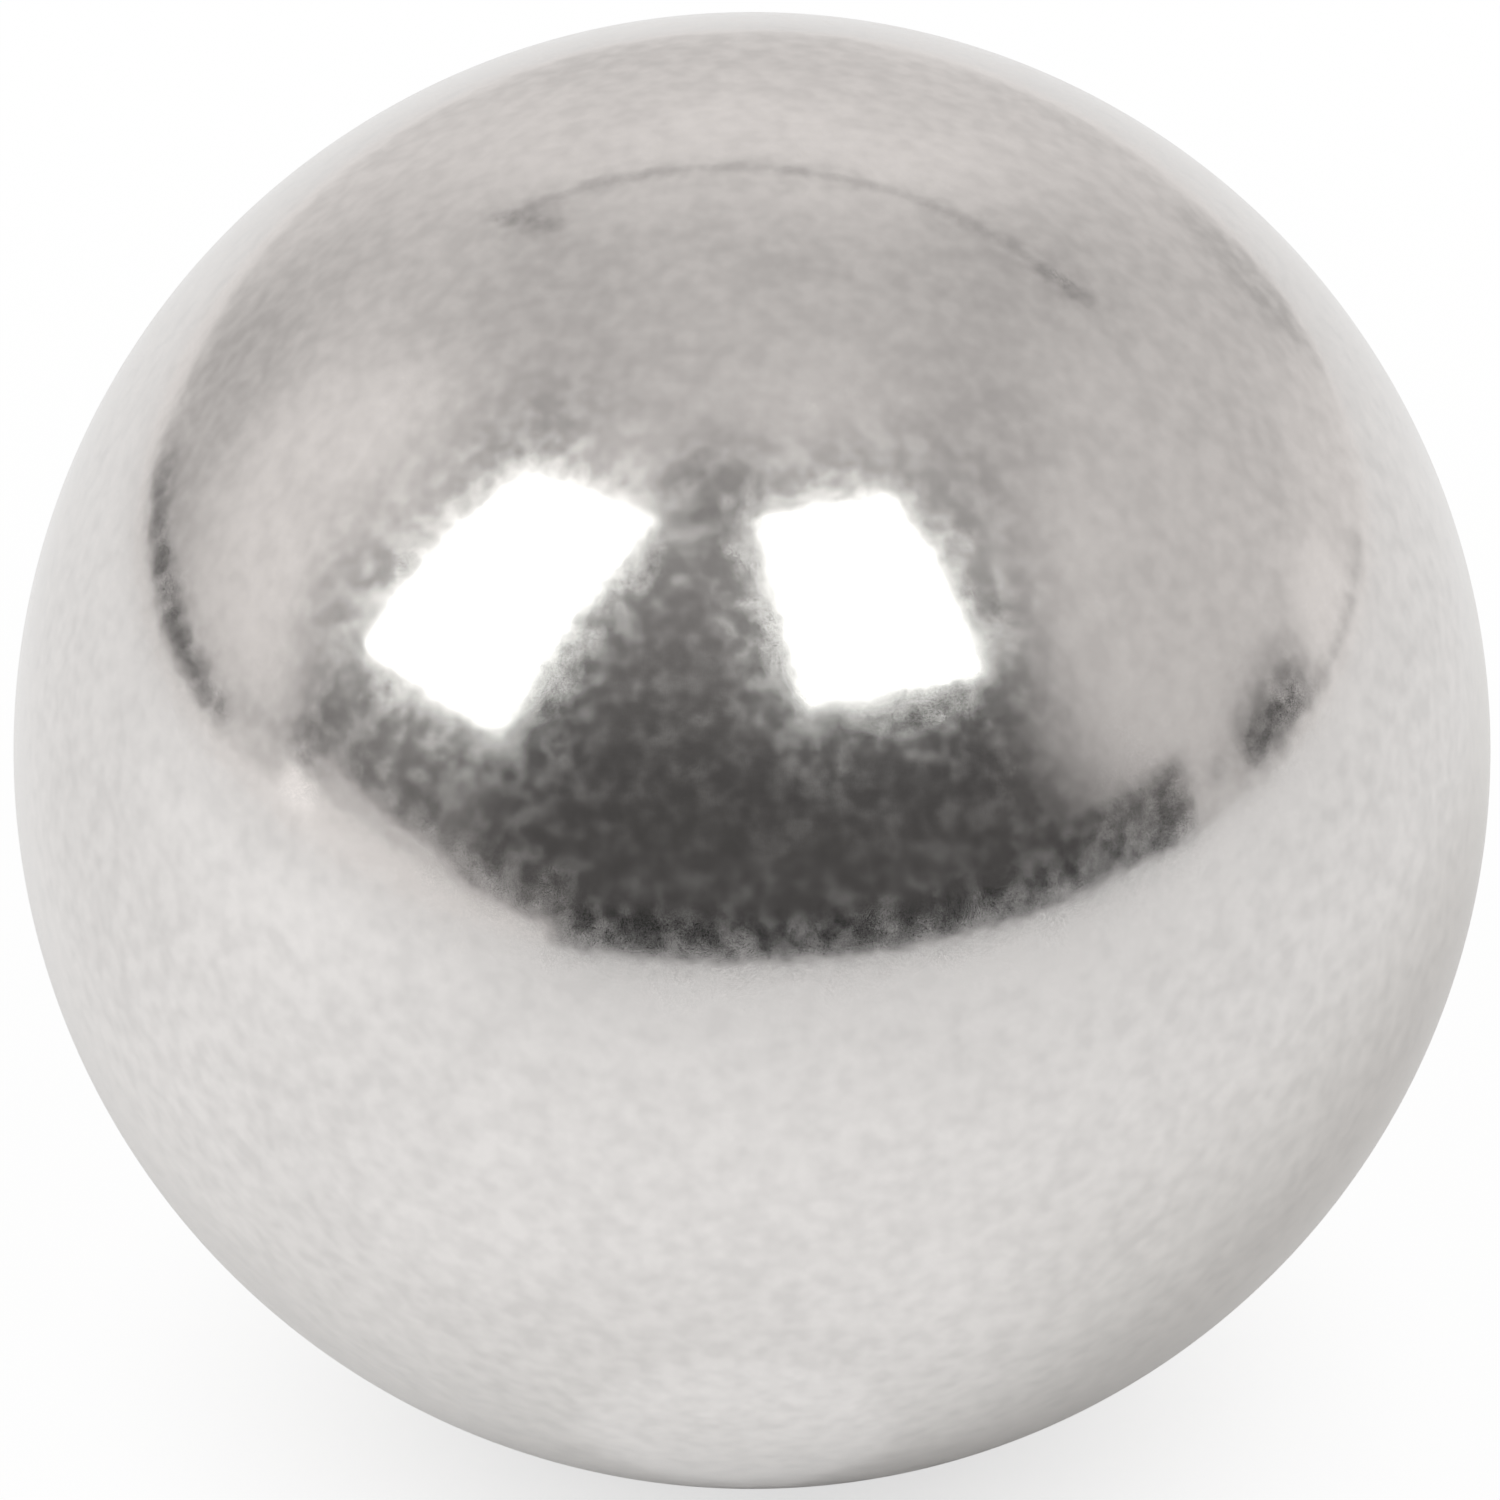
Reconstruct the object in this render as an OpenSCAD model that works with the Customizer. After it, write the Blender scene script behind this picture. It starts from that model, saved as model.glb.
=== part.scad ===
// Steel ball: one solid, ground and polished sphere.
// Millimetres, +Z up, with the origin at the centre of the ball.

/* [Ball] */
// Nominal diameter of the ball
ball_d = 25.4; // [6:0.1:60]

/* [Hidden] */

// Facets round the ball's equator in OpenSCAD's own preview
preview_fn = 180;

// The whole ball is one true sphere, with no flat, bore or seam
module ball() {
    color("silver") sphere(d = ball_d, $fn = preview_fn);
}

ball();
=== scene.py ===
"""Looks of the steel ball: a ground and polished sphere, shown inside a small light tent."""

import math
from functools import partial, reduce

import bpy
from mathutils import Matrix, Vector


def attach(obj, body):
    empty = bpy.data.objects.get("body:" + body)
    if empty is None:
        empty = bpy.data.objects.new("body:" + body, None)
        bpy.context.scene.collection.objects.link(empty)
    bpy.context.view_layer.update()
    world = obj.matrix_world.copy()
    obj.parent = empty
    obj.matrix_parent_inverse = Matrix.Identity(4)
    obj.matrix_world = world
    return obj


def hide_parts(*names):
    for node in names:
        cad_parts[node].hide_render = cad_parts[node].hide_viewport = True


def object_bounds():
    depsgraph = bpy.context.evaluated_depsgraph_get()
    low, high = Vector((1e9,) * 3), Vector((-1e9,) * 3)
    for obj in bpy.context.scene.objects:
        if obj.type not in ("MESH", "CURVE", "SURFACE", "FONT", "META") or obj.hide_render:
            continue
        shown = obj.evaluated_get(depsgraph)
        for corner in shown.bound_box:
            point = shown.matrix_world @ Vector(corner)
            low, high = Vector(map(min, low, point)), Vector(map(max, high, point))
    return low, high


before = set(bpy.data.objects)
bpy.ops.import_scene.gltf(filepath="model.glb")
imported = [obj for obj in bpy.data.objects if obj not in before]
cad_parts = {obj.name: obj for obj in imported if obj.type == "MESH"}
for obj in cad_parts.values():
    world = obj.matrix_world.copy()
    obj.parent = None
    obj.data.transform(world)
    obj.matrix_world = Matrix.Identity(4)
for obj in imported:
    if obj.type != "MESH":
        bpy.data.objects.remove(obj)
cad_low, cad_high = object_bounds()

# Lengths are in metres and angles in degrees. A bearing is measured round the ball from above: 0
# towards the camera (-Y), 90 to the right (+X), -90 to the left. An elevation is over the horizon.
MM = 0.001

# The ball, from the CAD solid
BALL_R = (cad_high.x - cad_low.x) / 2
TABLE_Z = cad_low.z

# Where the ball's outline lies in the photograph, in its pixels
PHOTO_SIDE = 1500
OUTLINE_X = 752
OUTLINE_Y = 750.5
OUTLINE_R = 738.5

# Camera
CAMERA_ELEVATION = 29
CAMERA_DISTANCE = 0.40
CAMERA_CLIP = 0.01
SENSOR_WIDTH = 36

# Mesh: the six sides of a cube, as square grids blown up to the sphere. The unwrapped map has them
# in columns and rows, with a gap round each. Corners of two sides are one point where they agree
# when rounded to this many steps in a radius.
GRID = 96
ATLAS_COLUMNS = 3
ATLAS_ROWS = 2
ATLAS_GAP = 0.006
POINT_STEPS = 1e5

# Nearly all values of a noise lie between these. GRAIN_TONE, CLOUD_TONE, PORE_RAISE and
# MOTTLE_TONE say what a noise becomes at these two ends.
NOISE_ENDS = (0.3, 0.7)

# Steel: light and dark grains, with relief, and wider faint clouds
STEEL_COLOUR = (0.735, 0.714, 0.703)
GRAIN_SIZE = 0.40 * MM
GRAIN_TONE = (0.935, 1.065)
GRAIN_HEIGHT = 0.0022 * MM
CLOUD_SIZE = 3.5 * MM
CLOUD_TONE = (0.98, 1.02)

# Gloss: dull pores, too fine to see, in a bright surface. A pore is where the pore noise, raised a
# little by the grain, passes PORE_EDGE. Over PORE_DULLING, the grain turns satin pores matt.
PORE_SIZE = 0.012 * MM
PORE_RAISE = (0.065, 0.125)
PORE_EDGE = (0.54, 0.58)
PORE_DULLING = (0.39, 0.67)
ROUGHNESS_BRIGHT = 0.095
ROUGHNESS_SATIN = 0.185
ROUGHNESS_MATT = 0.272

# Table top: its near edge in front of the ball, that edge's slope, and how far it goes elsewhere
TABLE_NEAR = 0.24
TABLE_SLOPE = 0.25
TABLE_REACH = 0.65
TABLE_COLOUR = (0.995, 0.995, 0.995)

# Soft round spots on the table, in ball radii. A row has the middle's x and y, the two distances
# from it between which the spot fades, and its value inside and outside. The rows are added up to
# the share of plain white that the camera sees in place of the lit paint, the share of painted
# glow that the ball mirrors in place of it, and the strength of that glow. The glow is painted
# light on
# the table: stronger in front of the ball and to its left, weaker to its right. Two spots of it
# lie in the ball's own shadow in front of it and lighten that shadow in the reflections.
WHITE_SEEN = ((0, 0, 0.25, 1.0, 0.66, 0.96), (0, 0, 1.0, 5.0, 0.0, 0.04))
GLOW_MIRRORED = ((0.6, 0.85, 1.0, 2.65, 0.0, 0.71), (-0.03, -0.70, 0.22, 0.34, 0.26, 0.0),
                 (0.38, -1.0, 0.1, 0.6, 0.22, 0.0))
GLOW_STRENGTH = ((-0.2, -1.7, 0.0, 3.7, 1.06, 0.93), (-6.3, -2.7, 0.0, 6.0, 0.185, 0.0),
                 (-15.5, 6.7, 0.0, 20.0, 0.10, 0.0), (8.0, 1.2, 0.0, 4.5, -0.08, 0.0))

# Softboxes: the bearing and elevation of each and those its back looks to, how far it is rolled,
# and its width and height as shares of its distance
SOFTBOX_DISTANCE = 2.5
SOFTBOX_RADIANCE = 3.0
SOFTBOX_TINT = (0.970, 1.0, 0.975)
SOFTBOXES = {
    "softbox_left": ((-58.7, 45.95), (-25.7, 10.2), -13.2, 0.514, 0.730),
    "softbox_right": ((27.6, 53.3), (13.9, 14.3), 5.0, 0.4435, 0.657),
}

# Tent: its tones are radiances. The side walls pass into the roof between two elevations, and the
# roof turns a little lighter between two higher ones.
TENT_TINT = (1.025, 0.995, 0.975)
SIDE_TONE = 0.65
ROOF_TONE = 0.585
ROOF_START = (38, 58)
ROOF_TOP = (64, 82)
ROOF_TOP_CHANGE = 0.045

# Back wall: where its middle is, the bearings on either side over which the side walls pass into
# it, and the elevations over which it passes into the roof. Its tones are those at its foot and at
# its seam, and the cloth's over it are those just over the seam and OVER_SEAM_REACH over it.
BACK_BEARING = 172.5
BACK_SIDES = (140, 160)
BACK_TOP = (62, 78)
BACK_TONES = (0.70, 0.85)
OVER_SEAM_TONES = (0.76, 0.61)
OVER_SEAM_REACH = 20

# Seam: how far it is over the horizon, seen square to the back wall, and its width and tone
SEAM_RISE = 48.3
SEAM_WIDTH = 1.5
SEAM_TONE = 0.15

# Open front: the tone of the dark room low down and at its top, and how soft its two sides are
FRONT_TONE = 0.079
FRONT_TOP_TONE = 0.25
FRONT_SOFTNESS = 12

# White cloth under the ball, and how soft its edge is
FLOOR_CLOTH_TONE = 0.95
FLOOR_CLOTH_SOFTNESS = 0.5

# Unevenness of the tent's cloth, as cells of noise on a sphere of radius 1
MOTTLE_SIZE = 0.35
MOTTLE_TONE = (0.94, 1.06)

# Soft round patches on the walls and roof: bearing, elevation, reach and change of tone. The late
# ones lie on the back wall as well.
PATCHES = ((-98, 27, 32, 0.18), (80, 27, 36, 0.03), (-133, 7, 25, -0.09), (135, 48, 20, -0.04),
           (128, 3, 16, 0.12), (-60, 44, 36, -0.26), (30, 50, 34, -0.34), (45, 70, 22, 0.09),
           (88, 60, 16, -0.09), (-96, 44, 16, 0.09), (-55, 64, 12, 0.20))
LATE_PATCHES = ((149.5, 4.8, 8.5, -0.17), (139.5, 3.5, 5.5, 0.09), (110, 3.5, 11, 0.28),
                (-81, 25, 11, -0.17))

# A thin line on the tent fades over this much bearing at its ends, and this share of its width
LINE_END = 4.0
LINE_SOFTNESS = 0.8


class Graph:
    """A node tree, with short calls for the nodes that this file uses."""

    def __init__(self, tree):
        self.tree = tree

    def put(self, socket, value):
        """Links the socket to another one, or sets a plain value on it."""
        if isinstance(value, bpy.types.NodeSocket):
            self.tree.links.new(value, socket)
        else:
            socket.default_value = value

    def node(self, kind, **settings):
        """A new node, with these settings."""
        made = self.tree.nodes.new(kind)
        for name, value in settings.items():
            setattr(made, name, value)
        return made

    def math(self, operation, *values):
        """The result of a Math node."""
        made = self.node("ShaderNodeMath", operation=operation)
        for socket, value in zip(made.inputs, values):
            self.put(socket, value)
        return made.outputs[0]

    def plus(self, *values):
        """The sum of these values."""
        return reduce(partial(self.math, "ADD"), values)

    def times(self, *values):
        """The product of these values."""
        return reduce(partial(self.math, "MULTIPLY"), values)

    def minus(self, value, taken):
        """The first value less the second."""
        return self.math("SUBTRACT", value, taken)

    def ramp(self, value, low, high, start=0.0, end=1.0, kind="SMOOTHSTEP"):
        """start below low, end above high, and a smooth or linear way between them."""
        made = self.node("ShaderNodeMapRange", interpolation_type=kind)
        for name, number in zip(("Value", "From Min", "From Max", "To Min", "To Max"),
                                (value, low, high, start, end)):
            self.put(made.inputs[name], number)
        return made.outputs["Result"]

    def band(self, value, low, high, soft):
        """1 between low and high and 0 outside, with edges this soft."""
        rise = self.ramp(value, low - soft / 2, low + soft / 2)
        fall = self.ramp(value, high - soft / 2, high + soft / 2, 1.0, 0.0)
        return self.times(rise, fall)

    def mix(self, share, first, second):
        """first where share is 0, second where it is 1."""
        made = self.node("ShaderNodeMix", data_type="FLOAT")
        for socket, value in zip(made.inputs, (share, None, first, second)):
            if value is not None:
                self.put(socket, value)
        return made.outputs[0]

    def mix_shaders(self, share, first, second):
        """The first shader where share is 0, the second where it is 1."""
        made = self.node("ShaderNodeMixShader")
        for socket, value in zip(made.inputs, (share, first, second)):
            self.put(socket, value)
        return made.outputs[0]

    def noise(self, vector, size, detail):
        """Noise about 0.5 in cells of this size."""
        made = self.node("ShaderNodeTexNoise")
        self.put(made.inputs["Vector"], vector)
        made.inputs["Scale"].default_value = 1 / size
        made.inputs["Detail"].default_value = detail
        return made.outputs["Fac"]

    def vary(self, noise, low, high):
        """A noise turned into a number that goes from low to high."""
        return self.ramp(noise, *NOISE_ENDS, low, high, "LINEAR")

    def distance(self, place, point):
        """How far the place is from a fixed point."""
        made = self.node("ShaderNodeVectorMath", operation="DISTANCE")
        self.put(made.inputs[0], place)
        made.inputs[1].default_value = point
        return made.outputs["Value"]

    def tint(self, colour, factor):
        """A plain colour times a number."""
        made = self.node("ShaderNodeVectorMath", operation="SCALE")
        made.inputs[0].default_value = colour
        self.put(made.inputs["Scale"], factor)
        return made.outputs["Vector"]


def towards(bearing, elevation):
    """The unit vector of a bearing and an elevation."""
    b = math.radians(bearing)
    e = math.radians(elevation)
    return Vector((math.sin(b) * math.cos(e), -math.cos(b) * math.cos(e), math.sin(e)))


def add_object(name, data):
    """A new object in the scene."""
    made = bpy.data.objects.new(name, data)
    bpy.context.scene.collection.objects.link(made)
    return made


def make_camera():
    """Stands at the photograph's angle, and frames the ball as the photograph does."""
    data = bpy.data.cameras.new("camera")
    data.sensor_width = SENSOR_WIDTH
    reach = math.sqrt(CAMERA_DISTANCE**2 - BALL_R**2)
    data.lens = SENSOR_WIDTH * OUTLINE_R / PHOTO_SIDE * reach / BALL_R
    data.shift_x = 0.5 - OUTLINE_X / PHOTO_SIDE
    data.shift_y = OUTLINE_Y / PHOTO_SIDE - 0.5
    data.clip_start = CAMERA_CLIP
    camera = add_object("camera", data)
    camera.location = CAMERA_DISTANCE * towards(0, CAMERA_ELEVATION)
    camera.rotation_euler = (math.radians(90 - CAMERA_ELEVATION), 0, 0)
    bpy.context.scene.camera = camera


def cube_sides():
    """Each side of a cube as its outward direction and its two directions across."""
    x = Vector((1, 0, 0))
    y = Vector((0, 1, 0))
    z = Vector((0, 0, 1))
    return [(x, y, z), (-x, -y, z), (y, -x, z), (-y, x, z), (z, x, y), (-z, x, -y)]


def side_normals(out, across, up):
    """The outward unit vector at each corner of one side's grid, by its two numbers."""
    steps = [math.tan(math.radians(90 * k / GRID - 45)) for k in range(GRID + 1)]
    return {(i, j): (out + s * across + t * up).normalized()
            for i, s in enumerate(steps) for j, t in enumerate(steps)}


def atlas_place(side, i, j):
    """Where a corner of a side's grid lies on the unwrapped map."""
    row, column = divmod(side, ATLAS_COLUMNS)
    u = ATLAS_GAP + (1 - 2 * ATLAS_GAP) * i / GRID
    v = ATLAS_GAP + (1 - 2 * ATLAS_GAP) * j / GRID
    return (column + u) / ATLAS_COLUMNS, (row + v) / ATLAS_ROWS


def ball_mesh():
    """A sphere with no poles, and a map with one square for each side of the cube."""
    numbers = {}
    points = []
    faces = []
    places = []
    for side, directions in enumerate(cube_sides()):
        at = {}
        for corner, normal in side_normals(*directions).items():
            key = tuple(round(c * POINT_STEPS) for c in normal)
            if key not in numbers:
                numbers[key] = len(points)
                points.append(normal * BALL_R)
            at[corner] = numbers[key]
        for i in range(GRID):
            for j in range(GRID):
                corners = ((i, j), (i + 1, j), (i + 1, j + 1), (i, j + 1))
                faces.append([at[corner] for corner in corners])
                places += [atlas_place(side, *corner) for corner in corners]
    mesh = bpy.data.meshes.new("steel_ball")
    mesh.from_pydata(points, [], faces)
    layer = mesh.uv_layers.new(name="OFBake")
    for corner, place in zip(layer.data, places):
        corner.uv = place
    mesh.shade_smooth()
    mesh.normals_split_custom_set_from_vertices([point.normalized() for point in points])
    return mesh


def steel_material():
    """Polished steel: a bright surface with fine dull pores and the faint grain of lapping."""
    material = bpy.data.materials.new("polished_steel")
    material.use_nodes = True
    g = Graph(material.node_tree)
    shader = g.tree.nodes["Principled BSDF"]
    shader.inputs["Metallic"].default_value = 1.0
    place = g.node("ShaderNodeTexCoord").outputs["Object"]
    grain = g.noise(place, GRAIN_SIZE, detail=1.0)
    cloud = g.noise(place, CLOUD_SIZE, detail=2.0)

    # Colour: a few hundredths lighter and darker, in grains and in clouds
    tone = g.times(g.vary(grain, *GRAIN_TONE), g.vary(cloud, *CLOUD_TONE))
    g.put(shader.inputs["Base Color"], g.tint(STEEL_COLOUR, tone))

    # Gloss: bright between the pores, and duller pores in light grains than in dark ones
    pores = g.plus(g.noise(place, PORE_SIZE, detail=0.0), g.vary(grain, *PORE_RAISE))
    dull = g.ramp(grain, *PORE_DULLING, ROUGHNESS_SATIN, ROUGHNESS_MATT, "LINEAR")
    g.put(shader.inputs["Roughness"], g.ramp(pores, *PORE_EDGE, ROUGHNESS_BRIGHT, dull))

    # Relief: the grain itself
    bump = g.node("ShaderNodeBump")
    bump.inputs["Distance"].default_value = GRAIN_HEIGHT
    g.put(bump.inputs["Height"], grain)
    g.put(shader.inputs["Normal"], bump.outputs["Normal"])
    return material


def make_ball():
    """Stands for the CAD solid, with a mesh that mirrors cleanly all over."""
    ball = add_object("steel_ball", ball_mesh())
    ball.data.materials.append(steel_material())
    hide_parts("ball")
    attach(ball, "root")


def make_softbox(name, place, back, roll, width, height):
    """A rectangular lamp, which shows in the ball but not to the camera."""
    lamp = bpy.data.lights.new(name, "AREA")
    lamp.shape = "RECTANGLE"
    lamp.size = width * SOFTBOX_DISTANCE
    lamp.size_y = height * SOFTBOX_DISTANCE
    lamp.color = SOFTBOX_TINT
    lamp.energy = SOFTBOX_RADIANCE * math.pi * lamp.size * lamp.size_y
    softbox = add_object(name, lamp)
    softbox.location = SOFTBOX_DISTANCE * towards(*place)
    softbox.rotation_euler = towards(*back).to_track_quat("Z", "Y").to_euler()
    softbox.rotation_euler.rotate_axis("Z", math.radians(roll))
    softbox.visible_camera = False


def table_mesh():
    """One flat face, whose near edge slopes."""
    tilt = TABLE_SLOPE * TABLE_REACH
    corners = [(-TABLE_REACH, tilt - TABLE_NEAR), (TABLE_REACH, -tilt - TABLE_NEAR),
               (TABLE_REACH, TABLE_REACH), (-TABLE_REACH, TABLE_REACH)]
    mesh = bpy.data.meshes.new("table")
    mesh.from_pydata([(x, y, TABLE_Z) for x, y in corners], [], [(0, 1, 2, 3)])
    return mesh


def spots(g, place, rows):
    """The sum of soft round spots on the table."""
    made = []
    for x, y, near, far, inside, outside in rows:
        middle = (x * BALL_R, y * BALL_R, TABLE_Z)
        away = g.math("DIVIDE", g.distance(place, middle), BALL_R)
        made.append(g.ramp(away, near, far, inside, outside))
    return g.plus(*made)


def table_material():
    """White paint, which keeps the shadow. Away from it, the paint fades into plain white to the
    camera and into a painted glow in the ball's reflections, and two spots of that glow lighten
    the mirrored shadow as painted light.
    """
    material = bpy.data.materials.new("table_white")
    material.use_nodes = True
    g = Graph(material.node_tree)
    g.tree.nodes.remove(g.tree.nodes["Principled BSDF"])
    paint = g.node("ShaderNodeBsdfDiffuse")
    paint.inputs["Color"].default_value = (*TABLE_COLOUR, 1)
    place = g.node("ShaderNodeTexCoord").outputs["Object"]
    path = g.node("ShaderNodeLightPath").outputs
    # Painted light: the ball's reflections show a glow in place of the lit paint, also in two
    # spots of its shadow
    share = g.plus(g.times(path["Is Camera Ray"], spots(g, place, WHITE_SEEN)),
                   g.times(path["Is Glossy Ray"], spots(g, place, GLOW_MIRRORED)))
    # Emission: plain white to the camera, and a painted glow of uneven strength in the ball's
    # reflections
    white = g.node("ShaderNodeEmission")
    strength = g.mix(path["Is Camera Ray"], spots(g, place, GLOW_STRENGTH), 1.0)
    g.put(white.inputs["Strength"], strength)
    shown = g.mix_shaders(share, paint.outputs[0], white.outputs[0])
    g.put(g.tree.nodes["Material Output"].inputs["Surface"], shown)
    return material


def make_table():
    """A white table top, whose near edge shows in the ball."""
    mesh = table_mesh()
    mesh.materials.append(table_material())
    add_object("table", mesh)


class Tent:
    """How bright the tent round the ball is, by direction. Each call paints over the last ones."""

    def __init__(self, graph, direction):
        self.g = graph
        self.direction = direction
        split = graph.node("ShaderNodeSeparateXYZ")
        graph.put(split.inputs[0], direction)
        x, y, z = split.outputs
        self.bearing = graph.math("DEGREES", graph.math("ARCTAN2", x, graph.times(y, -1.0)))
        self.elevation = graph.math("DEGREES", graph.math("ARCSINE", z))
        # How far up and how far sideways the direction goes, seen square to the back wall
        ahead = self.dot(towards(BACK_BEARING, 0))
        aside = self.dot(towards(BACK_BEARING + 90, 0))
        self.rise = graph.math("DEGREES", graph.math("ARCTAN2", z, ahead))
        self.swing = graph.math("DEGREES", graph.math("ARCTAN2", aside, ahead))
        self.tone = graph.ramp(self.elevation, *ROOF_START, SIDE_TONE, ROOF_TONE)

    def dot(self, aim):
        """How far the direction goes along a fixed unit vector."""
        made = self.g.node("ShaderNodeVectorMath", operation="DOT_PRODUCT")
        self.g.put(made.inputs[0], self.direction)
        made.inputs[1].default_value = aim
        return made.outputs["Value"]

    def paint(self, share, tone):
        """Mixes this tone in."""
        self.tone = self.g.mix(share, self.tone, tone)

    def patch(self, bearing, elevation, reach, change):
        """A soft round patch, lighter or darker than the tent about it."""
        edge = math.cos(math.radians(reach))
        share = self.g.ramp(self.dot(towards(bearing, elevation)), edge, 1.0)
        self.tone = self.g.math("MULTIPLY_ADD", share, change, self.tone)

    def block(self, bearings, elevations, softness, tone, share=1.0):
        """Paints a stretch of bearings and elevations, with soft edges."""
        across = self.g.band(self.bearing, *bearings, 2 * softness)
        along = self.g.band(self.elevation, *elevations, softness)
        self.paint(self.g.times(across, along, share), tone)

    def line(self, bearings, elevations, width, tone, share):
        """Paints a thin line, straight from the first bearing and elevation to the second."""
        course = self.course((*bearings, *elevations, "LINEAR"))
        off = self.g.minus(self.elevation, course)
        across = self.g.band(self.bearing, *bearings, LINE_END)
        along = self.g.band(off, -width / 2, width / 2, LINE_SOFTNESS * width)
        self.paint(self.g.times(across, along, share), tone)

    def course(self, *bends):
        """An elevation that changes with the bearing: the sum of these ramps."""
        return self.g.plus(*(self.g.ramp(self.bearing, *bend) for bend in bends))

    def fill(self, course, softness, along, tone):
        """Paints what is under a course, by the share along."""
        under = self.g.ramp(self.g.minus(course, self.elevation), -softness, softness)
        self.paint(self.g.times(under, along), tone)


def walls_and_roof(tent):
    """Side walls and roof, unevenly lit, and a little lighter at the very top."""
    top = tent.g.ramp(tent.elevation, *ROOF_TOP, 0.0, ROOF_TOP_CHANGE)
    tent.tone = tent.g.plus(tent.tone, top)
    for patch in PATCHES:
        tent.patch(*patch)


def back_wall(tent):
    """A lighter back wall, which ends at a seam, and the cloth over it, which darkens upwards."""
    g = tent.g
    behind = g.ramp(g.math("ABSOLUTE", tent.bearing), *BACK_SIDES)
    under_top = g.ramp(tent.elevation, *BACK_TOP, 1.0, 0.0)
    wall_tone = g.ramp(tent.rise, 0, SEAM_RISE, *BACK_TONES, "LINEAR")
    over_tone = g.ramp(tent.rise, SEAM_RISE + 1, SEAM_RISE + OVER_SEAM_REACH, *OVER_SEAM_TONES)
    past_seam = g.ramp(tent.rise, SEAM_RISE - 0.5, SEAM_RISE + 1)
    tent.paint(g.times(behind, under_top), g.mix(past_seam, wall_tone, over_tone))
    for patch in LATE_PATCHES:
        tent.patch(*patch)


def uneven_cloth(tent):
    """Faint lighter and darker places all over the cloth."""
    noise = tent.g.noise(tent.direction, MOTTLE_SIZE, detail=3.0)
    tent.tone = tent.g.times(tent.tone, tent.g.vary(noise, *MOTTLE_TONE))


def seams(tent):
    """The seam at the top of the back wall, its black end, and a short upright seam near that."""
    g = tent.g
    half = SEAM_WIDTH / 2
    across = g.band(tent.rise, SEAM_RISE - half, SEAM_RISE + half, soft=1.2)
    along = g.band(tent.swing, -41.5, 41.0, soft=2.0)
    strength = g.ramp(tent.swing, -38, -18, start=0.95, end=0.84)
    tent.paint(g.times(across, g.times(along, strength)), SEAM_TONE)
    across = g.band(tent.rise, SEAM_RISE - 2.0, SEAM_RISE + 1.4, soft=1.4)
    along = g.band(tent.swing, -42.0, -36.6, soft=2.0)
    tent.paint(g.times(across, along), tone=0.0)
    tent.block((-149.0, -146.5), (38.5, 49.3), softness=1.0, tone=0.06)


def open_front(tent):
    """The dark room that shows round the camera, narrower and paler higher up."""
    g = tent.g

    # The left wall is darker next to the room
    tent.block((-88, -72), (14, 38), softness=5.0, tone=0.30, share=0.18)
    shade = g.ramp(tent.elevation, 8, 22, start=0.15, end=0.29)
    tent.block((-79, -47), (4, 40), softness=5.0, tone=shade)

    # The room itself, between two bearings that change with the elevation
    left = g.ramp(tent.elevation, 35, 62, start=-50, end=-36)
    right = g.plus(g.ramp(tent.elevation, 42, 66, start=53, end=6),
                   g.ramp(tent.elevation, 8, 20, start=3.5, end=0.0))
    after_left = g.ramp(g.minus(tent.bearing, left), -FRONT_SOFTNESS, FRONT_SOFTNESS)
    before_right = g.ramp(g.minus(right, tent.bearing), -FRONT_SOFTNESS, FRONT_SOFTNESS)
    under_roof = g.ramp(tent.elevation, 66, 84, start=1.0, end=0.0)
    tone = g.ramp(tent.elevation, 22, 60, FRONT_TONE, FRONT_TOP_TONE)
    tent.paint(g.times(after_left, before_right, under_roof), tone)


def table_gaps(tent):
    """What shows along the foot of the side walls, over the white floor cloth."""
    g = tent.g

    # Right of the room: its dark foot, a dark gap with a soft rim, and a slit between them
    tent.block((40, 71.6), (-9, 9.3), softness=2.0, tone=0.075)
    tent.block((83, 99.5), (2, 9.5), softness=5.0, tone=0.32)
    tent.block((83, 98.3), (0.8, 5.8), softness=2.2, tone=0.02)
    tent.block((76.2, 78.8), (2.4, 5.8), softness=1.6, tone=0.12)

    # Thin lines along the foot of the left wall, and one along the foot of the right wall
    tent.line((-93, -80), (7.0, 7.4), width=3.4, tone=0.45, share=0.6)
    tent.line((-131.5, -92), (3.4, 3.1), width=3.5, tone=0.0, share=0.92)
    tent.line((-121, -98), (3.4, 3.2), width=3.4, tone=0.0, share=0.8)
    tent.line((-99, -88.5), (3.6, 3.9), width=3.4, tone=0.30, share=0.55)
    tent.line((98, 125), (1.1, 0.4), width=1.7, tone=0.25, share=0.9)

    # Left of the room: a pale foot that slopes down, its bright upper edge, and a place beside it
    foot = tent.course((-76, -47, 9.0, 3.1, "LINEAR"))
    along = g.band(tent.bearing, -71.5, -46, soft=2.0)
    tent.fill(foot, softness=0.4, along=along, tone=0.58)
    tent.line((-72, -47), (8.8, 3.6), width=1.4, tone=0.95, share=0.95)
    tent.block((-88.5, -78), (1.2, 5.9), softness=1.5, tone=0.66)


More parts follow.
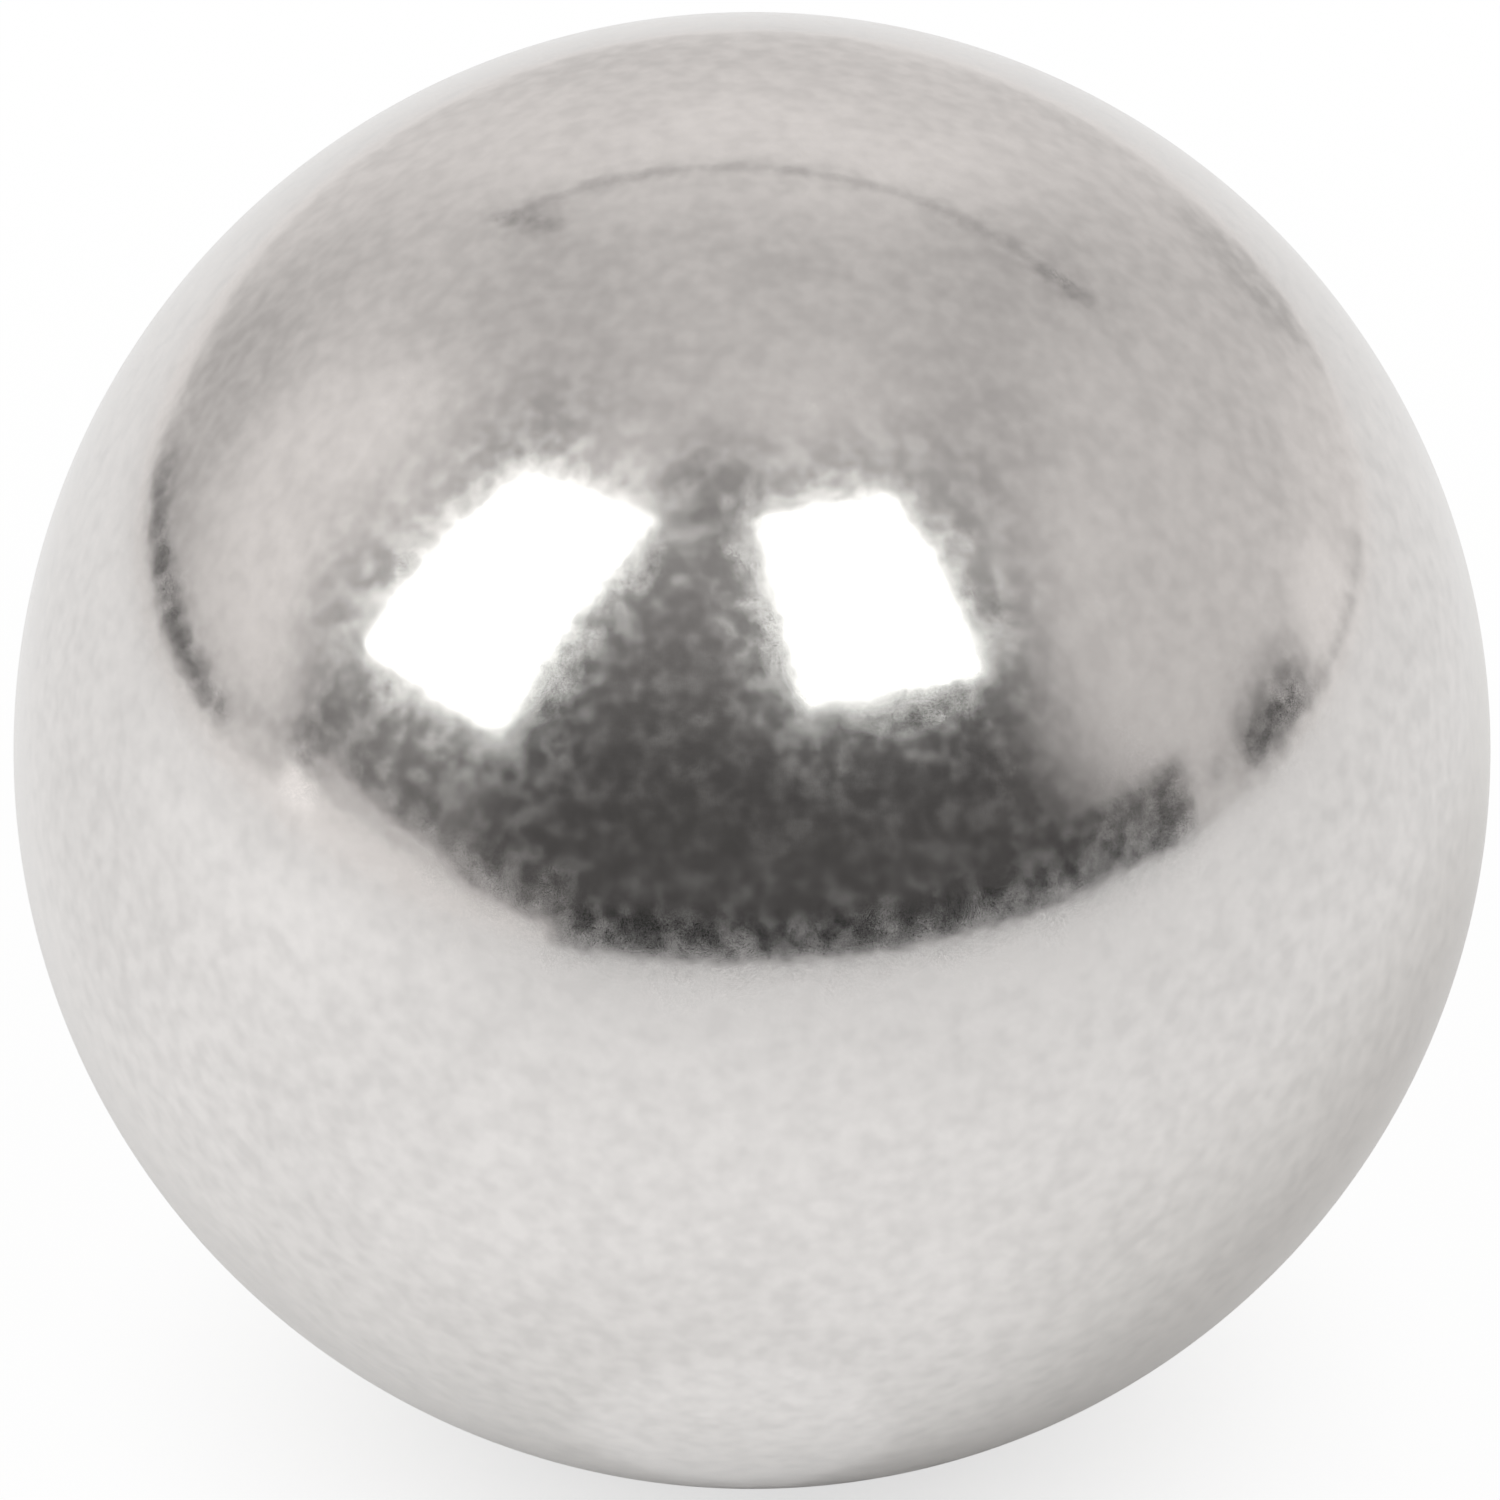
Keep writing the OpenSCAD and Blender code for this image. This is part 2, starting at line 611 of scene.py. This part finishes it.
def floor_cloth(tent):
    """The white cloth that the tent stands on, up to its edge."""
    g = tent.g

    # From the back round the left, as far as the room
    edge = tent.course((-178, -158, -0.6, 1.3), (-156, -142, 0.0, 1.5),
                       (-140.5, -134, 0.0, -1.6), (-98, -92, 0.0, 0.4))
    along = g.ramp(tent.bearing, -77, -75, start=1.0, end=0.0)
    tent.fill(edge, FLOOR_CLOTH_SOFTNESS, along, FLOOR_CLOTH_TONE)

    # Before the left of the room, where the edge slopes down out of sight, with a bright place
    edge = tent.course((-75, -46, 5.0, 2.1, "LINEAR"), (-46, -34, 0.0, -2.5, "LINEAR"))
    along = g.band(tent.bearing, -76, -30, soft=2.0)
    tent.fill(edge, FLOOR_CLOTH_SOFTNESS, along, FLOOR_CLOTH_TONE)
    tent.block((-78.2, -71.5), (0.5, 5.7), softness=1.2, tone=1.30)

    # From the room round the right to the back, with a shaded place near the room
    edge = tent.course((100, 150, 0.3, -0.2, "LINEAR"), (152, 164, 0.0, 1.4),
                       (168, 179, 0.0, -2.2))
    along = g.ramp(tent.bearing, 78, 84)
    tent.fill(edge, FLOOR_CLOTH_SOFTNESS, along, FLOOR_CLOTH_TONE)
    tent.line((73, 93), (-0.8, 0.1), width=2.0, tone=0.42, share=0.8)


def room_floor(tent):
    """The black lowest part of the room, past the table's near edge."""
    tent.block((60, 71.5), (-1.6, 1.4), softness=1.0, tone=0.0)
    tent.block((-27, 60), (-8, 3), softness=3.0, tone=0.0)


def make_world():
    """The tent by direction, for light and reflections. The camera sees plain white."""
    world = bpy.data.worlds.new("tent")
    world.use_nodes = True
    g = Graph(world.node_tree)
    direction = g.node("ShaderNodeTexCoord").outputs["Generated"]
    tent = Tent(g, direction)
    for part in (walls_and_roof, back_wall, uneven_cloth, seams, open_front, table_gaps,
                 floor_cloth, room_floor):
        part(tent)
    lit = g.tree.nodes["Background"]
    g.put(lit.inputs["Color"], g.tint(TENT_TINT, tent.tone))
    white = g.node("ShaderNodeBackground")
    white.inputs["Color"].default_value = (1, 1, 1, 1)
    seen = g.node("ShaderNodeLightPath").outputs["Is Camera Ray"]
    shown = g.mix_shaders(seen, lit.outputs[0], white.outputs[0])
    g.put(g.tree.nodes["World Output"].inputs["Surface"], shown)
    world.cycles.sampling_method = "NONE"
    bpy.context.scene.world = world


make_camera()
make_ball()
for softbox, numbers in SOFTBOXES.items():
    make_softbox(softbox, *numbers)
make_table()
make_world()
bpy.context.scene.view_settings.view_transform = "Standard"
